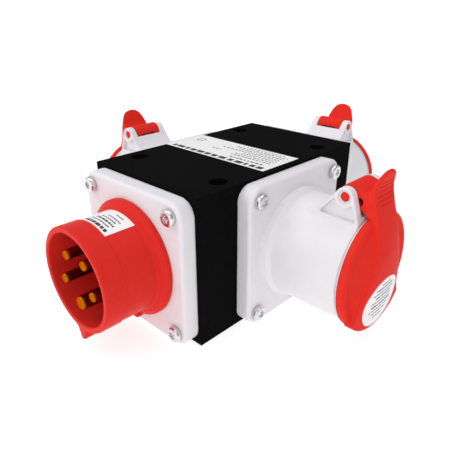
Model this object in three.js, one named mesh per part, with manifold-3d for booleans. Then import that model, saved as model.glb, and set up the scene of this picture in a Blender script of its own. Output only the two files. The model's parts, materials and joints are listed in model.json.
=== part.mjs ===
// Portable power distribution box: a black moulded housing with a five-pole
// inlet plug on one side and three lidded five-pole sockets on the other three.
// Units are millimetres, +Z is up, the origin is the centre of the housing's
// underside. The plug points along -Y, the sockets along +X, +Y and -X.

import * as THREE from 'three';
import { mergeVertices } from 'three/addons/utils/BufferGeometryUtils.js';
import Module from 'manifold-3d';

const wasm = await Module();
wasm.setup();

// ---------------------------------------------------------------- dimensions

const BOX_X = 78;                 // housing width
const BOX_Y = 125;                // housing length
const BOX_Z = 78;                 // housing height
const WALL = 3;                   // housing wall
const AXIS_Z = 39;                // height of every plug and socket axis

const SCREW_POST_X = 30.2;        // housing screw wells
const SCREW_POST_Y = 40.8;
const WELL_R = 4.6;
const POST_R = 6.4;

const PLATE = 75;                 // square mounting flange
const PLATE_T = 8.5;
const PLATE_CORNER = 8;
const PLATE_EDGE = 1.7;
const FLANGE_PITCH = 61.6;        // flange screw spacing
const GAP = 0.3;                  // clearance between neighbouring pieces

const PIN_CIRCLE_R = 12.6;
const PHASE_ANGLES = [126, 54, -18, 198];   // L1, L2, L3, N
const EARTH_ANGLE = -90;
const PHASE_PIN_R = 2.5;
const EARTH_PIN_R = 3.5;

const SHROUD_R = 26.2;            // plug collar, outside
const SHROUD_REAR_R = 25.8;
const SHROUD_BORE_R = 23.2;
const SHROUD_END = 41.4;          // collar rim, from the housing face
const PLUG_RING_R = 30.4;

const NECK_R = 28.0;              // socket neck, outside
const BASE_RING_R = 29.7;
const MOUTH_R = 26.6;             // socket bore
const NECK_END = 50.0;            // mouth, from the housing face
const INSERT_R = 22.8;            // contact carrier

const HINGE_U = 41.7;             // hinge axis, from the housing face
const HINGE_W = 37.1;             // hinge axis, above the socket axis
const EAR_OUT = 13.5;
const EAR_IN = 9.3;
const KNUCKLE_R = 4.8;
const KNUCKLE_Y = 9.0;
const HINGE_PIN_R = 2.0;

const LID_R = 29.2;
const LID_BACK = 51.3;

// ------------------------------------------------------------------- helpers

const rad = (deg) => (deg * Math.PI) / 180;
const V2 = (a, b) => new THREE.Vector2(a, b);

function signedVolume(position, index) {
  const a = new THREE.Vector3();
  const b = new THREE.Vector3();
  const c = new THREE.Vector3();
  let v = 0;
  for (let i = 0; i < index.length; i += 3) {
    a.fromArray(position, index[i] * 3);
    b.fromArray(position, index[i + 1] * 3);
    c.fromArray(position, index[i + 2] * 3);
    v += a.dot(b.cross(c)) / 6;
  }
  return v;
}

// A closed three.js geometry becomes a solid for cutting and joining.
function solid(geometry) {
  const g = geometry.clone();
  g.deleteAttribute('normal');
  g.deleteAttribute('uv');
  const merged = mergeVertices(g, 1e-5);
  const vertProperties = Float32Array.from(merged.attributes.position.array);
  const source = merged.index.array;
  const keep = [];
  for (let i = 0; i < source.length; i += 3) {
    const [p, q, r] = [source[i], source[i + 1], source[i + 2]];
    if (p !== q && q !== r && p !== r) keep.push(p, q, r);
  }
  if (signedVolume(vertProperties, keep) < 0) {
    for (let i = 0; i < keep.length; i += 3) {
      [keep[i + 1], keep[i + 2]] = [keep[i + 2], keep[i + 1]];
    }
  }
  return new wasm.Manifold(
    new wasm.Mesh({ numProp: 3, vertProperties, triVerts: Uint32Array.from(keep) }),
  );
}

function geometryOf(manifold) {
  const m = manifold.getMesh();
  const g = new THREE.BufferGeometry();
  g.setAttribute('position', new THREE.BufferAttribute(Float32Array.from(m.vertProperties), 3));
  g.setIndex(new THREE.BufferAttribute(Uint32Array.from(m.triVerts), 1));
  g.computeVertexNormals();
  return g;
}

const join = (...parts) => parts.reduce((a, b) => a.add(b));
const cut = (body, ...tools) => tools.reduce((a, b) => a.subtract(b), body);

// Polygons in a plane.
function circle(cx, cy, r, n, phase = 0) {
  const out = [];
  for (let i = 0; i < n; i++) {
    const t = phase + (2 * Math.PI * i) / n;
    out.push(V2(cx + r * Math.cos(t), cy + r * Math.sin(t)));
  }
  return out;
}

function arc(cx, cy, r, from, to, n) {
  const out = [];
  for (let i = 0; i <= n; i++) {
    const t = rad(from + ((to - from) * i) / n);
    out.push(V2(cx + r * Math.cos(t), cy + r * Math.sin(t)));
  }
  return out;
}

function roundedRectangle(w, h, r, n) {
  return [
    ...arc(w / 2 - r, h / 2 - r, r, 0, 90, n),
    ...arc(-w / 2 + r, h / 2 - r, r, 90, 180, n),
    ...arc(-w / 2 + r, -h / 2 + r, r, 180, 270, n),
    ...arc(w / 2 - r, -h / 2 + r, r, 270, 360, n),
  ];
}

const poly = (pairs) => pairs.map(([a, b]) => V2(a, b));

function extrude(points, depth) {
  return new THREE.ExtrudeGeometry(new THREE.Shape(points), { depth, bevelEnabled: false, steps: 1 });
}

// Prisms: a polygon in (y, z) swept along X, in (x, z) along Y, in (x, y) along Z.
function alongX(points, from, to) {
  const g = extrude(points, to - from);
  g.applyMatrix4(new THREE.Matrix4().set(0, 0, 1, from, 1, 0, 0, 0, 0, 1, 0, 0, 0, 0, 0, 1));
  return solid(g);
}
function alongY(points, from, to) {
  const g = extrude(points, to - from);
  g.applyMatrix4(new THREE.Matrix4().set(1, 0, 0, 0, 0, 0, -1, to, 0, 1, 0, 0, 0, 0, 0, 1));
  return solid(g);
}
function alongZ(points, from, to) {
  const g = extrude(points, to - from);
  g.applyMatrix4(new THREE.Matrix4().makeTranslation(0, 0, from));
  return solid(g);
}

function block(x0, x1, y0, y1, z0, z1) {
  const g = new THREE.BoxGeometry(x1 - x0, y1 - y0, z1 - z0);
  g.translate((x0 + x1) / 2, (y0 + y1) / 2, (z0 + z1) / 2);
  return solid(g);
}

// Turned solids: profile pairs are [radius, distance along the axis].
function turnedX(profile, segments, y = 0, z = 0, frame = null) {
  const g = new THREE.LatheGeometry(profile.map(([r, h]) => V2(r, h)), segments);
  g.rotateZ(-Math.PI / 2);
  g.translate(0, y, z);
  if (frame) g.applyMatrix4(frame);
  return solid(g);
}
function turnedZ(profile, segments, x = 0, y = 0) {
  const g = new THREE.LatheGeometry(profile.map(([r, h]) => V2(r, h)), segments);
  g.rotateX(Math.PI / 2);
  g.translate(x, y, 0);
  return solid(g);
}
const rodX = (r, from, to, segments, y = 0, z = 0) =>
  turnedX([[0, from], [r, from], [r, to], [0, to]], segments, y, z);
const rodZ = (r, from, to, segments, x = 0, y = 0) =>
  turnedZ([[0, from], [r, from], [r, to], [0, to]], segments, x, y);
function rodY(r, from, to, segments, x = 0, z = 0) {
  return alongY(circle(x, z, r, segments), from, to);
}
function ringX(inner, outer, from, to, segments) {
  return turnedX([[inner, from], [outer, from], [outer, to], [inner, to], [inner, from]], segments);
}

// A wire of polygonal section along a smooth route.
function wire(points, r, sides, steps) {
  const path = new THREE.CatmullRomCurve3(points.map((p) => new THREE.Vector3(...p)));
  return solid(new THREE.ExtrudeGeometry(new THREE.Shape(circle(0, 0, r, sides)), {
    steps, bevelEnabled: false, extrudePath: path,
  }));
}

// ----------------------------------------------------------------- materials

const material = (color, roughness, metalness = 0) =>
  new THREE.MeshStandardMaterial({ color, roughness, metalness });
const paint = {
  black: () => material(0x151515, 0.55),
  white: () => material(0xe4e2e6, 0.4),
  red: () => material(0xdb2a25, 0.35),
  carrier: () => material(0x3a3b3d, 0.6),
  brass: () => material(0xd9a230, 0.3, 1),
  steel: () => material(0xb9bbbf, 0.3, 1),
  rubber: () => material(0xc4c4c8, 0.7),
  paper: () => material(0xf2f2f2, 0.6),
  insulator: () => material(0xd8d4c8, 0.6),
};

const root = new THREE.Group();
function piece(parent, name, manifold, mat) {
  const mesh = new THREE.Mesh(geometryOf(manifold), mat);
  mesh.name = name;
  parent.add(mesh);
  return mesh;
}

const polar = (r, deg) => [r * Math.cos(rad(deg)), r * Math.sin(rad(deg))];
const flangeCorners = [[1, 1], [-1, 1], [-1, -1], [1, -1]].map(
  ([a, b]) => [(a * FLANGE_PITCH) / 2, (b * FLANGE_PITCH) / 2],
);

// --------------------------------------------------------------- the housing

{
  const inner = BOX_Z - WALL;
  let body = block(-BOX_X / 2, BOX_X / 2, -BOX_Y / 2, BOX_Y / 2, 0, BOX_Z);
  body = cut(body, block(-BOX_X / 2 + WALL, BOX_X / 2 - WALL, -BOX_Y / 2 + WALL, BOX_Y / 2 - WALL, -1, inner));

  const posts = [];
  const wells = [];
  for (const sx of [-1, 1]) {
    for (const sy of [-1, 1]) {
      posts.push(rodZ(POST_R, 9, inner + 0.5, 12, sx * SCREW_POST_X, sy * SCREW_POST_Y));
      wells.push(turnedZ([[0, 0], [2.3, 0], [2.3, 16], [WELL_R, 16], [WELL_R, BOX_Z + 1], [0, BOX_Z + 1]], 14, sx * SCREW_POST_X, sy * SCREW_POST_Y));
    }
  }
  // Bosses behind each wall for the flange screws.
  const bosses = [];
  const holes = [];
  for (const [a, b] of flangeCorners) {
    for (const s of [-1, 1]) {
      const z = AXIS_Z + b;
      bosses.push(block(
        Math.min(s * 31, s * 36.5), Math.max(s * 31, s * 36.5), a - 3.6, a + 3.6, z - 3.6, z + 3.6,
      ));
      holes.push(rodX(2.4, Math.min(s * 30, s * 40), Math.max(s * 30, s * 40), 6, a, z));
      bosses.push(block(
        a - 3.6, a + 3.6, Math.min(s * 54.5, s * 60), Math.max(s * 54.5, s * 60), z - 3.6, z + 3.6,
      ));
      holes.push(rodY(2.4, Math.min(s * 53, s * 64), Math.max(s * 53, s * 64), 6, a, z));
    }
  }
  const windows = [
    rodX(24, -41, 41, 28, 0, AXIS_Z),
    alongY(circle(0, AXIS_Z, 24, 28), -64, 64),
  ];
  body = cut(join(body, ...posts, ...bosses), ...wells, ...holes, ...windows);
  piece(root, 'box_housing', body, paint.black());

  let plate = block(-BOX_X / 2 + WALL + GAP, BOX_X / 2 - WALL - GAP, -BOX_Y / 2 + WALL + GAP, BOX_Y / 2 - WALL - GAP, 0, 3);
  for (const [i, [sx, sy]] of [[-1, -1], [1, -1], [1, 1], [-1, 1]].entries()) {
    const [x, y] = [sx * SCREW_POST_X, sy * SCREW_POST_Y];
    plate = cut(join(plate, rodZ(4.4, 2.5, 8.7, 8, x, y)), rodZ(2.4, 1.2, 10, 6, x, y));
    piece(root, `housing_screw_${i + 1}`, turnedZ([
      [0, 1.5], [1.9, 1.5], [1.9, 16.2], [3.9, 16.2], [3.9, 19.4], [1.6, 19.4], [1.6, 17.6], [0, 17.6],
    ], 8, x, y), paint.steel());
  }
  piece(root, 'base_plate', plate, paint.black());

  // Rating label across the middle of the top.
  piece(root, 'rating_label', block(-38.6, 38.6, -15.2, 15.6, BOX_Z + 0.05, BOX_Z + 0.25), paint.paper());
}

// The three socket sides: frame with X outward from the housing face.
const SOCKETS = {
  right: new THREE.Matrix4().makeTranslation(BOX_X / 2, 0, AXIS_Z),
  back: new THREE.Matrix4().makeTranslation(0, BOX_Y / 2, AXIS_Z)
    .multiply(new THREE.Matrix4().makeRotationZ(Math.PI / 2)),
  left: new THREE.Matrix4().makeTranslation(-BOX_X / 2, 0, AXIS_Z)
    .multiply(new THREE.Matrix4().makeRotationZ(Math.PI)),
};

// ------------------------------------------- busbars and the internal wiring

const BAR_Z = { L1: 46, L2: 52, L3: 38, N: 32, PE: 24 };
const BAR_HALF = 2;
const BAR_LENGTH = 40;
{
  let holder = join(
    block(-5.5, 5.5, -18, -14.5, 3.3, 57),
    block(-5.5, 5.5, 14.5, 18, 3.3, 57),
    block(-9, 9, -18, 18, 3.3, 6.5),
  );
  for (const z of Object.values(BAR_Z)) {
    holder = cut(holder, block(-BAR_HALF - 0.2, BAR_HALF + 0.2, -30, 30, z - BAR_HALF - 0.2, z + BAR_HALF + 0.2));
  }
  piece(root, 'busbar_holder', holder, paint.insulator());

  // One electrically continuous line per pole: a busbar, a lead from the plug,
  // a lead to each socket, and the three socket contact sleeves.
  const wireR = 1.3;
  const colours = { L1: 0x7a4a2b, L2: 0x1c1c1c, L3: 0x8f9296, N: 0x2f5fb0, PE: 0x6fae2c };
  const angle = { L1: 126, L2: 54, L3: -18, N: 198, PE: EARTH_ANGLE };
  for (const [name, deg] of Object.entries(angle)) {
    const [a, b] = polar(PIN_CIRCLE_R, deg);
    const zc = AXIS_Z + b;
    const zb = BAR_Z[name];
    const [outer, inner] = name === 'PE' ? [4.5, 3.7] : [3.5, 2.7];
    const line = [block(-BAR_HALF, BAR_HALF, -BAR_LENGTH / 2, BAR_LENGTH / 2, zb - BAR_HALF, zb + BAR_HALF)];
    for (const s of [1, -1]) {
      const y = s * a;
      line.push(wire([
        [s * 28, y, zc], [s * 21, y, zc], [s * 9, y, zb], [s * (BAR_HALF - 1), y, zb],
      ], wireR, 4, 5));
    }
    line.push(wire([
      [-a, 51.5, zc], [-a, 44, zc], [-a * 0.25, 29, zb], [0, BAR_LENGTH / 2 - 1, zb],
    ], wireR, 4, 5));
    line.push(wire([
      [a, -46.1, zc], [a, -41, zc], [a * 0.25, -28, zb], [0, -BAR_LENGTH / 2 + 1, zb],
    ], wireR, 4, 5));
    for (const frame of Object.values(SOCKETS)) {
      line.push(turnedX([
        [0, -12], [outer, -12], [outer, 42.6], [inner, 42.6], [inner, 14], [0, 14],
      ], 7, a, b, frame));
    }
    piece(root, `conductor_${name}`, join(...line), material(colours[name], 0.55));
  }
}

// ---------------------------------------------------- shared flange geometry

function flangePlate() {
  const points = roundedRectangle(PLATE, PLATE, PLATE_CORNER, 3);
  const g = new THREE.ExtrudeGeometry(new THREE.Shape(points), {
    depth: PLATE_T - PLATE_EDGE - 0.2,
    bevelEnabled: true,
    bevelThickness: PLATE_EDGE,
    bevelSize: PLATE_EDGE,
    bevelOffset: -PLATE_EDGE,
    bevelSegments: 1,
    steps: 1,
  });
  g.applyMatrix4(new THREE.Matrix4().set(0, 0, 1, 0.2, 1, 0, 0, 0, 0, 1, 0, 0, 0, 0, 0, 1));
  const plate = cut(solid(g), block(-5, GAP, -50, 50, -50, 50));
  return cut(plate, ...flangeCorners.map(([a, b]) => rodX(2.5, -1, 12, 6, a, b)));
}
const gasketGroove = () => ringX(27.6, 31.9, -1, 1.9, 20);
const gasket = () => ringX(27.9, 31.6, 0.05, 1.6, 20);
function flangeScrews(parent, name) {
  for (const [i, [a, b]] of flangeCorners.entries()) {
    piece(parent, `${name}_${i + 1}`, turnedX([
      [0, -7.3], [1.9, -7.3], [1.9, 8.6], [4.0, 8.6], [4.0, 10.5], [3.1, 11.6], [0, 11.6],
    ], 8, a, b), paint.steel());
  }
}

// ------------------------------------------------------------ the inlet plug

{
  const plug = new THREE.Group();
  plug.position.set(0, -BOX_Y / 2, AXIS_Z);
  plug.rotation.z = -Math.PI / 2;
  root.add(plug);

  const plate = cut(flangePlate(), rodX(26.5, -1, 12, 28), gasketGroove());
  piece(plug, 'plug_flange', plate, paint.white());

  // Collar with its flange ring, key rib and retaining lug.
  let shroud = turnedX([
    [SHROUD_BORE_R, 2.0], [26.0, 2.0], [26.0, 8.8], [PLUG_RING_R, 8.8], [PLUG_RING_R, 11.2],
    [28.2, 12.7], [26.4, 13.4], [SHROUD_REAR_R, 14.6], [SHROUD_REAR_R, 30.4], [SHROUD_R, 30.6],
    [SHROUD_R, 40.4], [25.4, SHROUD_END], [24.0, SHROUD_END], [SHROUD_BORE_R, 40.4], [SHROUD_BORE_R, 2.0],
  ], 28);
  const key = alongX(poly([[-3.4, -25.2], [-1.0, -32.4], [1.0, -32.4], [3.4, -25.2]]), 14, SHROUD_END - 0.1);
  const lug = alongX(poly([[-5, -25], [-5, -31.8], [-3.8, -33], [3.8, -33], [5, -31.8], [5, -25]]), 9, 12.8);
  shroud = join(shroud, key, lug);
  piece(plug, 'plug_shroud', shroud, paint.red());

  // Pin carrier: held between the housing wall and the collar's spigot.
  let carrier = turnedX([[0, -10], [21.5, -10], [21.5, 0.35], [25.6, 0.35], [25.6, 1.7], [22.9, 1.7], [22.9, 6], [0, 6]], 28);
  for (const [i, deg] of PHASE_ANGLES.entries()) {
    const [y, z] = polar(PIN_CIRCLE_R, deg);
    carrier = cut(carrier, rodX(PHASE_PIN_R + 0.3, -12, 8, 10, y, z));
    piece(plug, `plug_pin_${['L1', 'L2', 'L3', 'N'][i]}`, turnedX([
      [0, -16], [3.4, -16], [3.4, -10.3], [PHASE_PIN_R, -10.3], [PHASE_PIN_R, 39.6], [1.9, 40.4], [0, 40.4],
    ], 10, y, z), paint.brass());
  }
  const [ey, ez] = polar(PIN_CIRCLE_R, EARTH_ANGLE);
  carrier = cut(carrier, rodX(EARTH_PIN_R + 0.3, -12, 8, 10, ey, ez));
  piece(plug, 'plug_pin_carrier', carrier, paint.red());
  piece(plug, 'plug_pin_PE',
    turnedX([[0, -16], [4.3, -16], [4.3, -10.3], [EARTH_PIN_R, -10.3], [EARTH_PIN_R, 39.6], [2.8, 40.4], [0, 40.4]], 10, ey, ez),
    paint.brass());
  piece(plug, 'plug_gasket', gasket(), paint.rubber());
  flangeScrews(plug, 'plug_flange_screw');

  // Thin rating sticker wrapped over the top of the collar.
  const sector = alongX([V2(0, 0), ...arc(0, 0, 40, 63.5, 107.8, 4)], 14.9, 30.1);
  piece(plug, 'plug_label', ringX(SHROUD_REAR_R + 0.1, SHROUD_REAR_R + 0.3, 14.9, 30.1, 48).intersect(sector), paint.paper());
}

// --------------------------------------------------------------- the sockets

const earOutline = [
  ...poly([[27.0, 20], [27.0, 27.4], [31.4, 31.3], [35.6, 36.0]]),
  ...arc(41.6, 36.8, 4.6, 150, 18, 5),
  ...poly([[49.9, 26.0], [49.9, 20]]),
];

function socketHousing() {
  let body = join(
    flangePlate(),
    turnedX([[0, 6], [BASE_RING_R, 6], [BASE_RING_R, 12.0], [NECK_R, 14.0], [NECK_R, 49.3], [27.5, NECK_END], [0, NECK_END]], 28),
    alongX(poly([[-4.8, -26.4], [-1.3, -33.2], [1.3, -33.2], [4.8, -26.4]]), 9, NECK_END - 0.1),
    alongY(earOutline, -EAR_OUT, EAR_OUT),
  );
  const knuckleSpace = join(
    rodY(5.25, -EAR_IN, EAR_IN, 16, HINGE_U, HINGE_W),
    alongY(poly([[30, 36], [30, 43.5], [60, 43.5], [60, 28.4], [44, 28.4], [38.6, 33.0], [37, 36]]), -EAR_IN, EAR_IN),
  );
  const pockets = [-1, 1].map((s) => {
    const [from, to] = s > 0 ? [11.7, 14] : [-14, -11.7];
    return cut(
      alongY(poly([[36.4, 35.3], [29.2, 26.9], [48.3, 26.2], [45.5, 34.2]]), from, to),
      rodY(5.1, from - 1, to + 1, 12, HINGE_U, HINGE_W),
    );
  });
  return cut(
    body,
    rodX(MOUTH_R, 9.2, 60, 28),
    rodX(24.0, -1, 20, 24),
    rodX(26.4, -1, 5.3, 24),
    gasketGroove(),
    alongX(poly([[-3.7, -25], [-3.7, -26.0], [-1.15, -32.15], [1.15, -32.15], [3.7, -26.0], [3.7, -25]]), 13, 60),
    knuckleSpace,
    rodY(HINGE_PIN_R + 0.15, -20, 20, 12, HINGE_U, HINGE_W),
    ...pockets,
  );
}

function socketInsert() {
  let body = turnedX([[0, -8], [21.5, -8], [21.5, 1.9], [26.0, 1.9], [26.0, 5.0], [INSERT_R, 5.0], [INSERT_R, 45.4], [22.2, 46], [0, 46]], 24);
  const hole = (deg, front, rear) => {
    const [y, z] = polar(PIN_CIRCLE_R, deg);
    body = cut(body, turnedX([[0, -9], [rear, -9], [rear, 43], [front, 43], [front, 47], [0, 47]], 8, y, z));
  };
  for (const deg of PHASE_ANGLES) hole(deg, 3.0, 3.9);
  hole(EARTH_ANGLE, 4.0, 4.9);
  return body;
}

// Front view of the raised shield and thumb tab: half outline, top to bottom.
const shieldHalf = [
  [0, 49.7], [3.6, 49.1], [6.3, 46.9], [7.9, 44.0], [9.0, 41.0], [9.2, 38.0], [8.9, 34.5], [8.8, 31],
  [9.2, 27], [9.6, 19], [9.9, 15], [11.1, 11], [12.4, 4], [14.0, -1], [15.8, -6], [18.6, -12.5], [21.3, -17],
  [22.6, -20.0], [18.6, -23.8], [13.0, -27.3], [6.7, -29.4], [0, -30.2],
];
const shieldOutline = [
  ...poly(shieldHalf),
  ...poly(shieldHalf.slice(1, -1).reverse().map(([a, b]) => [-a, b])),
];
// Side view of the shield's outer face: [distance from the housing face, height].
const shieldFace = [
  [55.0, 50.2], [55.7, 48.6], [55.1, 46.3], [54.3, 43.6], [53.8, 41], [54.0, 38.2], [55.1, 35], [56.2, 31], [57.5, 27], [58.7, 23],
  [59.7, 19], [60.8, 12], [61.1, 4], [60.9, -3], [60.2, -9], [59.3, -15], [58.3, -23], [57.5, -30.6],
];
const shieldProfile = poly([
  ...shieldFace,
  [51.5, -30.6], [51.5, -28.9], [53.3, -28.8], [53.3, 28.6], [51.3, 28.7], [50.4, 38.4], [51.3, 41.6], [52.3, 44.6], [53.3, 47.2], [54.4, 50.2],
]);

function socketLid() {
  const disc = turnedX([
    [0, 53.2], [28.2, 53.2], [28.2, LID_BACK], [LID_R, LID_BACK], [LID_R, 54.4], [27.6, 55.5], [23.5, 54.9], [0, 54.9],
  ], 32);
  const shield = alongY(shieldProfile, -32, 32).intersect(alongX(shieldOutline, 40, 70));
  const arm = alongY([
    ...arc(HINGE_U, HINGE_W, KNUCKLE_R, 62, 310, 10),
    ...poly([[47.5, 31.5], [50.6, 29.0], [53.4, 29.0], [53.4, 40.0], [51.3, 41.8], [49.8, 38.5], [46.5, 40.3]]),
  ], -KNUCKLE_Y, KNUCKLE_Y);
  const slot = alongY([V2(HINGE_U, HINGE_W), ...arc(HINGE_U, HINGE_W, 7.5, -175, -50, 4)], -5.2, 5.2);
  return cut(
    join(disc, shield, arm),
    rodY(HINGE_PIN_R + 0.15, -20, 20, 12, HINGE_U, HINGE_W),
    rodY(3.9, -5.2, 5.2, 12, HINGE_U, HINGE_W),
    slot,
    rodY(1.9, -12, 12, 8, 46.8, 34.9),
  );
}

function socketSpring() {
  // Torsion spring around the hinge pin: close coils and one leg to the housing.
  const [r, wireR, turns, half] = [2.95, 0.45, 4, 3.4];
  const pts = [];
  const steps = turns * 7;
  for (let i = 0; i <= steps; i++) {
    const t = rad(-150) + (2 * Math.PI * turns * i) / steps;
    pts.push([HINGE_U + r * Math.cos(t), half - (2 * half * i) / steps, HINGE_W + r * Math.sin(t)]);
  }
  // The leg leaves on a tangent and rests above the neck.
  const end = rad(-150);
  const tangent = [-Math.sin(end), Math.cos(end)];
  const last = pts[pts.length - 1];
  pts.push([last[0] + 2.2 * tangent[0], -half - 0.5, last[2] + 2.2 * tangent[1]]);
  pts.push([last[0] + 5.2 * tangent[0], -half - 0.5, last[2] + 5.2 * tangent[1]]);
  return wire(pts, wireR, 4, steps + 2);
}

for (const [side, frame] of Object.entries(SOCKETS)) {
  const socket = new THREE.Group();
  socket.applyMatrix4(frame);
  root.add(socket);
  const name = (part) => `socket_${side}_${part}`;
  piece(socket, name('housing'), socketHousing(), paint.white());
  piece(socket, name('insert'), socketInsert(), paint.carrier());
  piece(socket, name('gasket'), gasket(), paint.rubber());
  flangeScrews(socket, name('flange_screw'));
  piece(socket, name('hinge_pin'), rodY(HINGE_PIN_R, -13.4, 13.4, 12, HINGE_U, HINGE_W), paint.red());
  piece(socket, name('spring'), socketSpring(), paint.steel());
  piece(socket, name('lid'), socketLid(), paint.red());
  piece(socket, name('lid_seal'), ringX(25.5, 27.9, 50.25, 53.0, 24), paint.rubber());
}

export default root;
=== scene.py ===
import json
import math

import bmesh
import bpy
import numpy as np
from mathutils import Matrix, Vector

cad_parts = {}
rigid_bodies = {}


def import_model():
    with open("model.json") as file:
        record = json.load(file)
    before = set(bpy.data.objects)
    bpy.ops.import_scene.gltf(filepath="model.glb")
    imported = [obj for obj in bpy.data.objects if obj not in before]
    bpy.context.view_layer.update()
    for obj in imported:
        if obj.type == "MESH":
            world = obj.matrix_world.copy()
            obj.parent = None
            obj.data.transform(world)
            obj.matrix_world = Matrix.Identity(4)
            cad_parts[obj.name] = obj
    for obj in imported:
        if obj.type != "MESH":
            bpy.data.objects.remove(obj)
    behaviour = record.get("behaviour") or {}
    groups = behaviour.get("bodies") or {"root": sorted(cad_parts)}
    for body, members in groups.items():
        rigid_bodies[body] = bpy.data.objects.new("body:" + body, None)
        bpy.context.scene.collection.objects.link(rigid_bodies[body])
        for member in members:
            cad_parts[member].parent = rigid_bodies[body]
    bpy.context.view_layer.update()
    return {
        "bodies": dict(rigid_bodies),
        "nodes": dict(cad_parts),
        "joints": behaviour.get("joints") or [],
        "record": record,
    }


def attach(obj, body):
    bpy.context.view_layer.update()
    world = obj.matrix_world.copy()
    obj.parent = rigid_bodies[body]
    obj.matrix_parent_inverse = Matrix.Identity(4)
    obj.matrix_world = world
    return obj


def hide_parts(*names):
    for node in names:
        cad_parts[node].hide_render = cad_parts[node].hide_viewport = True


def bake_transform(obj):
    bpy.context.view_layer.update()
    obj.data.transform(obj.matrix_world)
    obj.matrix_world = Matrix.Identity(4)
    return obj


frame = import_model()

MM = 0.001

# ---------------------------------------------------------------- dimensions
# Millimetres. Each plug or socket is drawn in its own frame: u outward from
# the housing face, v sideways, w up from the plug's or socket's axis.

HALF_X, HALF_Y, HEIGHT, AXIS_Z = 39.0, 62.5, 78.0, 39.0
PIN_R = 12.6
PHASES = {"L1": 126, "L2": 54, "L3": -18, "N": 198}
EARTH = -90
HINGE = (41.7, 37.1)
CORNERS = [(30.8, 30.8), (-30.8, 30.8), (-30.8, -30.8), (30.8, -30.8)]
WELLS = [(-30.2, -40.8), (30.2, -40.8), (30.2, 40.8), (-30.2, 40.8)]

PLACE = {
    "right": Matrix.Translation((HALF_X, 0, AXIS_Z)),
    "back": Matrix.Translation((0, HALF_Y, AXIS_Z)) @ Matrix.Rotation(math.pi / 2, 4, "Z"),
    "left": Matrix.Translation((-HALF_X, 0, AXIS_Z)) @ Matrix.Rotation(math.pi, 4, "Z"),
    "plug": Matrix.Translation((0, -HALF_Y, AXIS_Z)) @ Matrix.Rotation(-math.pi / 2, 4, "Z"),
}


def placed(side):
    """The matrix that takes local millimetres to the row frame in metres."""
    return Matrix.Scale(MM, 4) @ PLACE[side]


ROW = Matrix.Scale(MM, 4)

# ------------------------------------------------------ outlines and distances


def filleted(points, steps=5):
    """Closed outline with each corner (x, y, radius) replaced by an arc."""
    out = []
    n = len(points)
    for i in range(n):
        x, y, *r = points[i]
        r = r[0] if r else 0.0
        p = np.array([x, y], float)
        a = np.array(points[i - 1][:2], float) - p
        b = np.array(points[(i + 1) % n][:2], float) - p
        la, lb = np.linalg.norm(a), np.linalg.norm(b)
        if r <= 0 or la < 1e-9 or lb < 1e-9:
            out.append((x, y))
            continue
        a, b = a / la, b / lb
        cosine = float(np.clip(a @ b, -1, 1))
        half = math.acos(cosine) / 2
        if half > math.pi / 2 - 1e-3:
            out.append((x, y))
            continue
        reach = min(r / math.tan(half), 0.49 * la, 0.49 * lb)
        radius = reach * math.tan(half)
        middle = p + (a + b) / np.linalg.norm(a + b) * (radius / math.sin(half))
        s, e = p + a * reach - middle, p + b * reach - middle
        t0, t1 = math.atan2(s[1], s[0]), math.atan2(e[1], e[0])
        turn = (t1 - t0 + math.pi) % (2 * math.pi) - math.pi
        for k in range(steps + 1):
            t = t0 + turn * k / steps
            out.append((middle[0] + radius * math.cos(t), middle[1] + radius * math.sin(t)))
    return out


def arc(cx, cy, r, start, end, n):
    return [
        (cx + r * math.cos(math.radians(start + (end - start) * k / n)),
         cy + r * math.sin(math.radians(start + (end - start) * k / n)))
        for k in range(n + 1)
    ]


class Outline:
    """Signed distance to a closed outline, from a table."""

    def __init__(self, points, step=0.16, pad=5.0):
        pts = np.array([p[:2] for p in points], float)
        self.lo = pts.min(0) - pad
        n = np.ceil((pts.max(0) + pad - self.lo) / step).astype(int) + 1
        self.step, self.n = step, n
        x = self.lo[0] + step * np.arange(n[0])[:, None]
        y = self.lo[1] + step * np.arange(n[1])[None, :]
        best = np.full(n, 1e9)
        inside = np.zeros(n, bool)
        for i in range(len(pts)):
            a, b = pts[i - 1], pts[i]
            ex, ey = b - a
            l2 = ex * ex + ey * ey
            if l2 < 1e-12:
                continue
            wx, wy = x - a[0], y - a[1]
            t = np.clip((wx * ex + wy * ey) / l2, 0, 1)
            best = np.minimum(best, (wx - t * ex) ** 2 + (wy - t * ey) ** 2)
            if abs(ey) > 1e-12:
                hit = ((a[1] <= y) != (b[1] <= y)) & (x < a[0] + (y - a[1]) * ex / ey)
                inside ^= hit
        d = np.sqrt(best)
        self.table = np.where(inside, -d, d)

    def __call__(self, a, b):
        fa, fb = (a - self.lo[0]) / self.step, (b - self.lo[1]) / self.step
        ca = np.clip(fa, 0, self.n[0] - 1.001)
        cb = np.clip(fb, 0, self.n[1] - 1.001)
        ia, ib = ca.astype(int), cb.astype(int)
        ta, tb = ca - ia, cb - ib
        t = self.table
        value = (t[ia, ib] * (1 - ta) + t[ia + 1, ib] * ta) * (1 - tb) + (
            t[ia, ib + 1] * (1 - ta) + t[ia + 1, ib + 1] * ta
        ) * tb
        return value + self.step * np.hypot(fa - ca, fb - cb)


def meet(a, b, r=0.0):
    """Intersection, with its edge rounded to radius r."""
    if r <= 0:
        return np.maximum(a, b)
    return np.minimum(-r, np.maximum(a, b)) + np.hypot(np.maximum(r + a, 0), np.maximum(r + b, 0))


def weld(a, b, r=0.0):
    """Union, with a fillet of radius r where the two meet."""
    if r <= 0:
        return np.minimum(a, b)
    return np.maximum(r, np.minimum(a, b)) - np.hypot(np.maximum(r - a, 0), np.maximum(r - b, 0))


def carve(a, b, r=0.0):
    return meet(a, -b, r)


def round_square(a, b, half, corner):
    qa, qb = np.abs(a) - half + corner, np.abs(b) - half + corner
    return np.hypot(np.maximum(qa, 0), np.maximum(qb, 0)) + np.minimum(np.maximum(qa, qb), 0) - corner


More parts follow.
